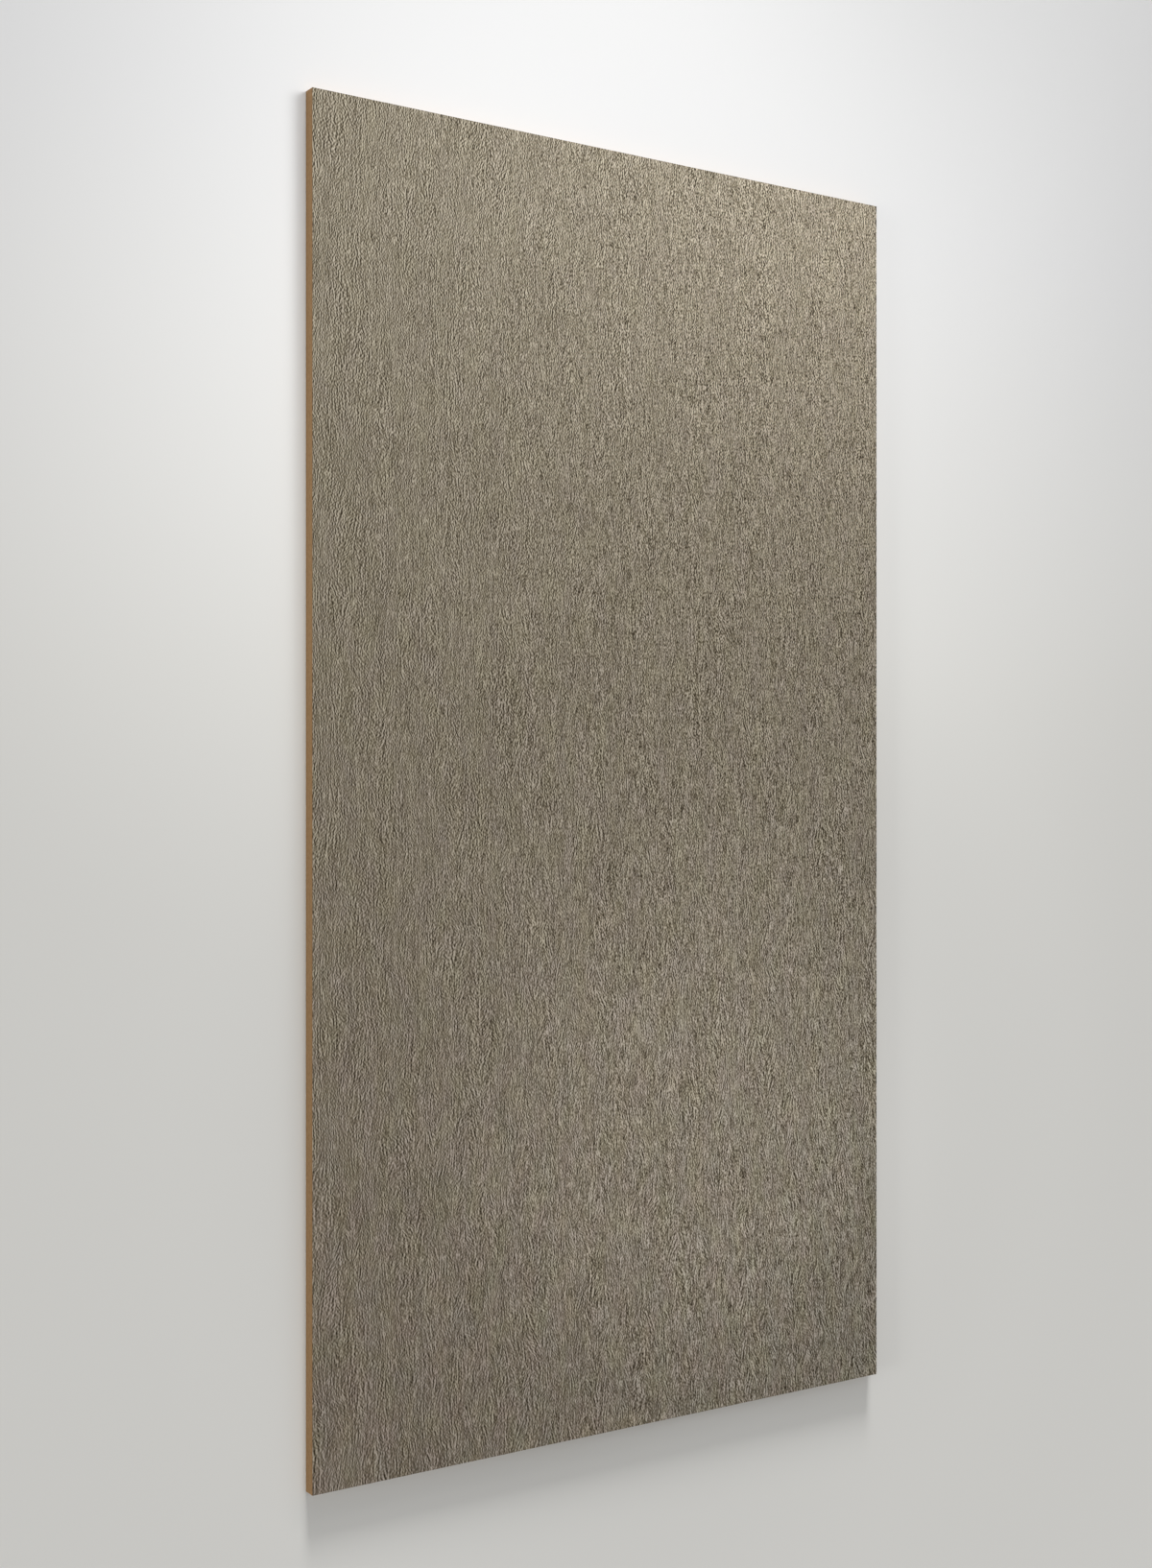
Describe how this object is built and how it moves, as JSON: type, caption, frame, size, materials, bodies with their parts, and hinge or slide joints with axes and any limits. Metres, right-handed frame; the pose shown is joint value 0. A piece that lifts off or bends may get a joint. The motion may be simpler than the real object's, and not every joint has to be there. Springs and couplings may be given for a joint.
{
  "type": "veneered board",
  "caption": "Flat veneered board: a thick core board with a textured grey-brown wood veneer on its face and a plain balancing veneer on its back.",
  "frame": {"origin": "middle of the back face, on the surface that the board lies on", "axes": "+X across the width (across the grain), +Y along the length (along the grain), +Z out of the textured face, up"},
  "size_m": [1.3, 2.44, 0.0265],
  "materials": {
    "core_board": "sawn edge of fibreboard, matt tan",
    "face_veneer": "grey-brown, deeply brushed grain, matt with a slight sheen",
    "backing_veneer": "plain sanded, matt"
  },
  "bodies": {
    "root": {"core_board": "core_board", "face_veneer": "face_veneer", "backing_veneer": "backing_veneer"}
  },
  "joints": []
}
